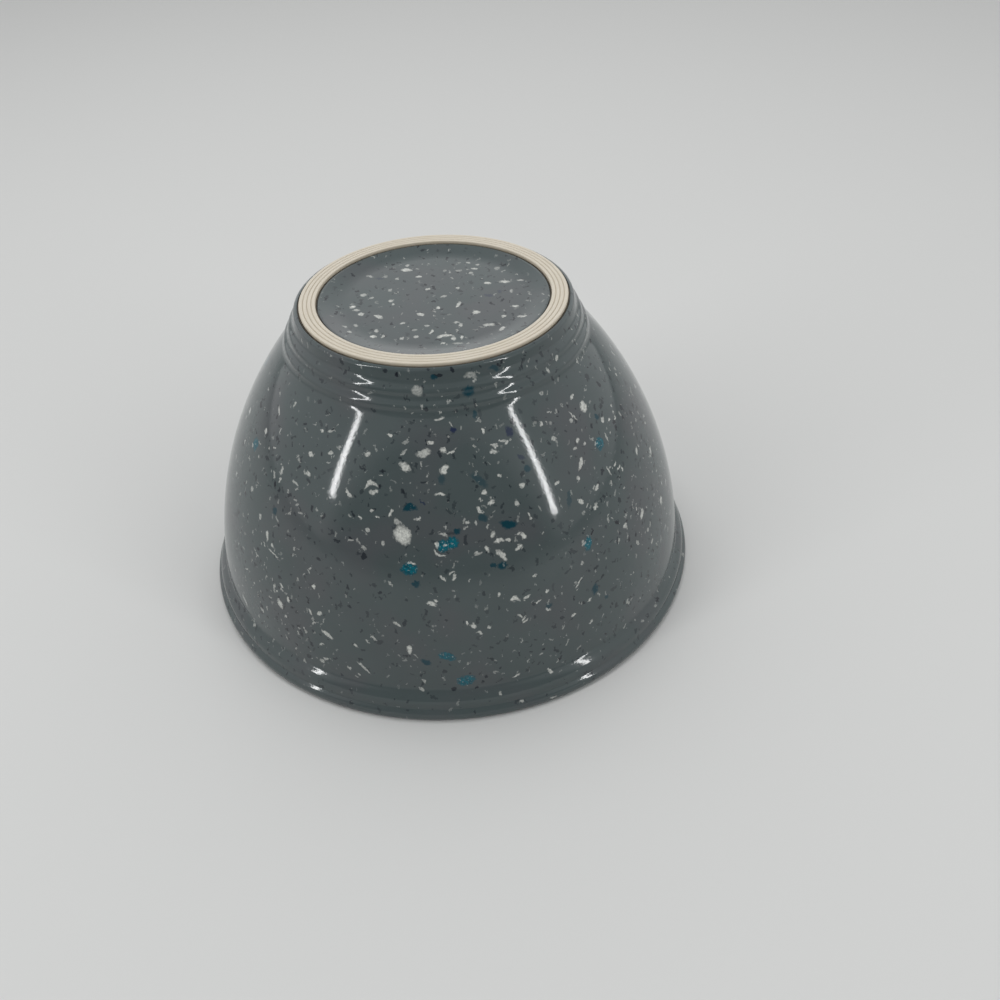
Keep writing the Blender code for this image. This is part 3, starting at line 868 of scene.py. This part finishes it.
DARK_DUST = Strewn(4.57, 0.0041, (0.0048, 0.0027, 0.0013), 2, 0.3)
DARK_DUST_SHARE = 0.65
DARK_DUST_CROWDING = 0.8
dark_share = spanned(below_base, Span(0, 1, 1, to_sides))
dark_crowd = sums("MULTIPLY_ADD", crowd, DARK_DUST_CROWDING, DARK_DUST_SHARE)
dark_dust = strewn_layer(DARK_DUST, sums("MULTIPLY", dark_crowd, dark_share))
colour = over(colour, BLACK_CHIP, dark_dust)

BACK_SHARE = 0.5
BACK_NAVY = Strewn(3.39, 0.0050, (0.0040, 0.0026, 0.0012), 1, 0.3)
BACK_DEEP_TEAL = Strewn(2.11, 0.0080, (0.0078, 0.0054, 0.0028), 1, 0.5)
BACK_TEAL = Strewn(2.71, 0.0100, (0.0088, 0.0068, 0.0040), 0, 0.7)
SPECKLE_SIZE = 0.0016
SPECKLING = Span(0.40, 0.58, 0.35, 1)
SPARKLE_SIZE = 0.0007
SPARKLING = Span(0.62, 0.70, 0, 0.4)
back_navy = back_layer(BACK_NAVY, BACK_SHARE)
colour = over(colour, NAVY_CHIP, sums("MAXIMUM", back_navy, placed_layer(NAVY_CHIPS)))
colour = over(colour, BLACK_CHIP, placed_layer(BLACK_CHIPS))
back_deep_teal = back_layer(BACK_DEEP_TEAL, BACK_SHARE)
back_teal = back_layer(BACK_TEAL, BACK_SHARE)
teal = sums("MAXIMUM", back_teal, placed_layer(TEAL_CHIPS))
deep_teal = sums("MAXIMUM", back_deep_teal, placed_layer(DEEP_TEAL_CHIPS))
deep_teal = sums("MAXIMUM", deep_teal, teal)
speckle = spanned(noise(at, SPECKLE_SIZE)[0], SPECKLING)
sparkle = spanned(noise(at, SPARKLE_SIZE)[0], SPARKLING)
colour = over(colour, DEEP_TEAL_CHIP, deep_teal)
colour = over(colour, TEAL_CHIP, sums("MULTIPLY", teal, speckle))
colour = over(colour, WHITE_CHIP_AND_HIGHLIGHT, sums("MULTIPLY", teal, sparkle))

WHITE_DUST = Strewn(1.93, 0.0019, (0.0012, 0.0010, 0.0005), 1, 0.15)
WHITE_DUST_ON_BASE = 0.05
WHITE_DUST_ON_WALL = 0.14
WHITE_SHREDS = Strewn(0.81, 0.0033, (0.0034, 0.0024, 0.0008), 3, 0.15)
BACK_FLAKES = Strewn(1.21, 0.0046, (0.0050, 0.0034, 0.0010), 3, 0.3)
BACK_FLAKE_SHARE = 0.7
BACK_LARGE = Strewn(0.37, 0.0085, (0.0090, 0.0065, 0.0028), 1, 0.4)
MOTTLE_SIZE = 0.0009
MOTTLING = Span(0.3, 0.65, 0.45, 1)
white_share = spanned(below_base, Span(0, 1, WHITE_DUST_ON_BASE, WHITE_DUST_ON_WALL))
white = strewn_layer(WHITE_DUST, sums("MULTIPLY", crowd, white_share))
shreds = strewn_layer(WHITE_SHREDS, sums("MULTIPLY", crowd, to_sides))
flakes = back_layer(BACK_FLAKES, BACK_FLAKE_SHARE)
large = back_layer(BACK_LARGE, BACK_SHARE)
# The placed white marks are chips, except one on the left of the rim, which is a painted highlight.
placed_white_and_highlight = placed_layer(FRONT_WHITE + RIGHT_WHITE + LEFT_WHITE_AND_HIGHLIGHT + BASE_WHITE)
for layer in (shreds, flakes, large, placed_white_and_highlight):
    white = sums("MAXIMUM", white, layer)
mottle = spanned(noise(at, MOTTLE_SIZE)[0], MOTTLING)
colour = over(colour, WHITE_CHIP_AND_HIGHLIGHT, sums("MULTIPLY", white, mottle))
paint.links.new(colour, gloss.inputs["Base Color"])

MELAMINE_IOR = 1.49
SMEAR_SIZE = 0.013
SMEARED_ROUGHNESS = Span(0.3, 0.7, 0.060, 0.085)
gloss.inputs["IOR"].default_value = MELAMINE_IOR
smear = noise(at, SMEAR_SIZE, detail=4)[0]
paint.links.new(spanned(smear, SMEARED_ROUGHNESS), gloss.inputs["Roughness"])

PEEL_SIZE = 0.0016
PEEL_DEPTH = 0.000004
GRAIN_SIZE = 0.0009
GRAIN_SHARE = 3.5
grain = noise(at, GRAIN_SIZE, detail=1)[0]
peel = noise(at, PEEL_SIZE, detail=1)[0]
skin_height = sums("MULTIPLY_ADD", grain, GRAIN_SHARE, peel)
bump = paint.nodes.new("ShaderNodeBump")
bump.inputs["Strength"].default_value = 1
bump.inputs["Distance"].default_value = PEEL_DEPTH
paint.links.new(skin_height, bump.inputs["Height"])
paint.links.new(bump.outputs["Normal"], gloss.inputs["Normal"])


# Adhesive: a thin bed of brown contact adhesive in the foot's groove, which holds the ring to the bowl.
# It is laid wet, so pressing the ring down squeezes a low bead up along both of the ring's edges.
BED_THICKNESS = 0.0004
BEAD_WIDTH = 0.0003
BEAD_ROUND = 0.00015
ADHESIVE = on_screen(96, 88, 74)
ADHESIVE_DARK = on_screen(62, 56, 47)
ADHESIVE_LUMP_SIZE = 0.004
ADHESIVE_LUMPS = Span(0.35, 0.65, 0, 1)
CURED_ROUGHNESS = Span(0, 1, 0.45, 0.7)

bed_inner = groove_inner + CLEARANCE
bed_outer = adhesive_high.x
bed_top = adhesive_low.z + BED_THICKNESS
bed_middle = (bed_inner + bed_outer) / 2
adhesive_section = eased([
    (bed_middle, adhesive_low.z, 0),
    (bed_inner, adhesive_low.z, BEAD_ROUND),
    (bed_inner, adhesive_high.z, BEAD_ROUND),
    (bed_inner + BEAD_WIDTH, adhesive_high.z, BEAD_ROUND),
    (bed_inner + BEAD_WIDTH, bed_top, 0),
    (bed_outer - BEAD_WIDTH, bed_top, 0),
    (bed_outer - BEAD_WIDTH, adhesive_high.z, BEAD_ROUND),
    (bed_outer, adhesive_high.z, BEAD_ROUND),
    (bed_outer, adhesive_low.z, BEAD_ROUND),
    (bed_middle, adhesive_low.z, 0),
])
brown_adhesive = bpy.data.materials.new("brown_adhesive")
adhesive = turned_piece("adhesive_bed", adhesive_section, brown_adhesive)
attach(adhesive, "root")
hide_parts("ring_adhesive")

brown_adhesive.use_nodes = True
paint = brown_adhesive.node_tree
cured = paint.nodes["Principled BSDF"]
at = feed(paint, "ShaderNodeTexCoord")["Object"]
lumps = spanned(noise(at, ADHESIVE_LUMP_SIZE, detail=3)[0], ADHESIVE_LUMPS)
paint.links.new(over(ADHESIVE_DARK, ADHESIVE, lumps), cured.inputs["Base Color"])
paint.links.new(spanned(lumps, CURED_ROUGHNESS), cured.inputs["Roughness"])


# Ring: a flat ring of cream rubber that stands proud of the foot, so that the upright bowl grips a table.
# It is moulded with four low round-backed ribs and pressed into the adhesive.
# The grooves between the ribs are painted a little darker, in uneven patches, as painted shade.
RIB_COUNT = 4
RIB_DEPTH = 0.0004
RIB_FLANK = 0.0003
RIB_ROUND = 0.0006
RING_EDGE_ROUND = 0.0002
CREAM = on_screen(204, 196, 180)
CREAM_PALE = on_screen(209, 202, 188)
GROOVE_SHADE = on_screen(188, 178, 159)
RIB_TO_GROOVE = Span(0.3, 0.48, 0, 1)
SMUDGE_SIZE = 0.012
SMUDGES = Span(0.3, 0.7, 0, 1)
GROOVE_SHADE_PATCH_SIZE = 0.004
GROOVE_SHADE_PATCHES = Span(0.3, 0.7, 0.6, 1)
RUBBER_ROUGHNESS = Span(0, 1, 0.5, 0.62)

ring_outer = ring_high.x
ring_inner = ring_outer - RING_WIDTH
rib_pitch = RING_WIDTH / RIB_COUNT
valley = ring_high.z - RIB_DEPTH
ring_middle = (ring_inner + ring_outer) / 2
ring_corners = [(ring_middle, ring_low.z, 0), (ring_inner, ring_low.z, RING_EDGE_ROUND)]
for rib in range(RIB_COUNT):
    start = ring_inner + rib * rib_pitch
    ring_corners.append((start, valley, 0))
    ring_corners.append((start + RIB_FLANK, ring_high.z, RIB_ROUND))
    ring_corners.append((start + rib_pitch - RIB_FLANK, ring_high.z, RIB_ROUND))
ring_corners += [
    (ring_outer, valley, 0), (ring_outer, ring_low.z, RING_EDGE_ROUND), (ring_middle, ring_low.z, 0),
]
cream_rubber = bpy.data.materials.new("cream_rubber")
ring = turned_piece("rubber_ring", eased(ring_corners), cream_rubber)
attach(ring, "root")
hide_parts("non_slip_ring")

cream_rubber.use_nodes = True
paint = cream_rubber.node_tree
rubber = paint.nodes["Principled BSDF"]
at = feed(paint, "ShaderNodeTexCoord")["Object"]
flat = vectors("MULTIPLY", at, (1, 1, 0))
radius = measured("LENGTH", flat)
rib_place = sums("FRACT", sums("DIVIDE", sums("SUBTRACT", radius, ring_inner), rib_pitch))
from_rib = sums("ABSOLUTE", sums("SUBTRACT", rib_place, 0.5))
in_groove = spanned(from_rib, RIB_TO_GROOVE)
smudge = spanned(noise(at, SMUDGE_SIZE, detail=4)[0], SMUDGES)
colour = over(CREAM, CREAM_PALE, smudge)
# Painted shade: a darker cream in the grooves between the ribs, stronger in some patches than in others.
groove_shade = sums("MULTIPLY", in_groove, spanned(noise(at, GROOVE_SHADE_PATCH_SIZE)[0], GROOVE_SHADE_PATCHES))
paint.links.new(over(colour, GROOVE_SHADE, groove_shade), rubber.inputs["Base Color"])
paint.links.new(spanned(smudge, RUBBER_ROUGHNESS), rubber.inputs["Roughness"])


# Floor: a plain pale table top, matt, on which the bowl stands mouth down.
# It reaches past the photograph's frame on every side, and keeps the bowl's soft shadow.
FLOOR_REACH = 6
TABLE = on_screen(211, 212, 211)
TABLE_ROUGHNESS = 0.7

floor_mesh = bpy.data.meshes.new("table_top")
corners = [
    (-FLOOR_REACH, -FLOOR_REACH, 0), (FLOOR_REACH, -FLOOR_REACH, 0),
    (FLOOR_REACH, FLOOR_REACH, 0), (-FLOOR_REACH, FLOOR_REACH, 0),
]
floor_mesh.from_pydata(corners, [], [(0, 1, 2, 3)])
floor = bpy.data.objects.new("table_top", floor_mesh)
bpy.context.scene.collection.objects.link(floor)

pale_table = bpy.data.materials.new("pale_table")
floor_mesh.materials.append(pale_table)
pale_table.use_nodes = True
matt = pale_table.node_tree.nodes["Principled BSDF"]
matt.inputs["Base Color"].default_value = TABLE
matt.inputs["Roughness"].default_value = TABLE_ROUGHNESS


# Lights: two tall bright strips left and right of the camera, which draw the two streaks down the wall.
# A wide soft light hangs overhead. The room is bright behind the bowl, dark behind the camera and dim above.
# Beyond the table, the camera itself sees an even pale backdrop in place of the room.
STRIP_DISTANCE = 1.2
OVERHEAD_PLACE = (-0.10, 0.40, 1.8)
OVERHEAD_SIDE = 1.6
OVERHEAD_RADIANCE = 1.80
BRIGHT_SIDE = Vector((0.10, 0.96, 0.22)).normalized()
ROOM = Span(-0.62, -0.48, 0.16, 0.75)
GLOW = Span(0.1, 0.85, 0, 0.22)
CEILING = Span(0.40, 0.95, 1, 0.25)
BACKDROP = 0.62


def lamp(name, place, aim, width, height, radiance):
    """An area lamp of the given size, as bright as the given radiance, aimed at a point."""
    made = bpy.data.lights.new(name, "AREA")
    made.shape = "RECTANGLE"
    made.size = width
    made.size_y = height
    made.energy = radiance * math.pi * width * height
    lit = bpy.data.objects.new(name, made)
    lit.location = place
    lit.rotation_mode = "QUATERNION"
    lit.rotation_quaternion = (Vector(aim) - Vector(place)).to_track_quat("-Z", "Y")
    bpy.context.scene.collection.objects.link(lit)
    return lit


for name, heading, bottom, top, width, radiance in (
    ("left_strip", -151.6, 0.33, 1.9, 0.060, 20), ("right_strip", -40.3, 0.21, 2.0, 0.052, 20),
):
    bearing = math.radians(heading)
    where = Vector((math.cos(bearing), math.sin(bearing), 0)) * STRIP_DISTANCE
    where.z = (bottom + top) / 2
    lamp(name, where, (0, 0, where.z), width, top - bottom, radiance)
overhead = lamp("overhead", OVERHEAD_PLACE, (0, 0, 0), OVERHEAD_SIDE, OVERHEAD_SIDE, OVERHEAD_RADIANCE)
overhead.visible_glossy = False

world = bpy.data.worlds.new("studio")
bpy.context.scene.world = world
world.use_nodes = True
studio = world.node_tree
sky = studio.nodes["Background"]
looking = feed(studio, "ShaderNodeTexCoord")["Generated"]
towards = measured("DOT_PRODUCT", looking, BRIGHT_SIDE)
room = spanned(towards, ROOM)
glow = spanned(towards, GLOW)
rise = feed(studio, "ShaderNodeSeparateXYZ", looking)["Z"]
ceiling = spanned(rise, CEILING)
lit_room = sums("MULTIPLY", sums("ADD", room, glow), ceiling)
seen = feed(studio, "ShaderNodeLightPath")["Is Camera Ray"]
backdrop = feed(studio, "ShaderNodeMix", seen, None, lit_room, BACKDROP)[0]
studio.links.new(backdrop, sky.inputs["Strength"])
sky.inputs["Color"].default_value = (1, 1, 1, 1)

bpy.context.scene.view_settings.view_transform = "Standard"
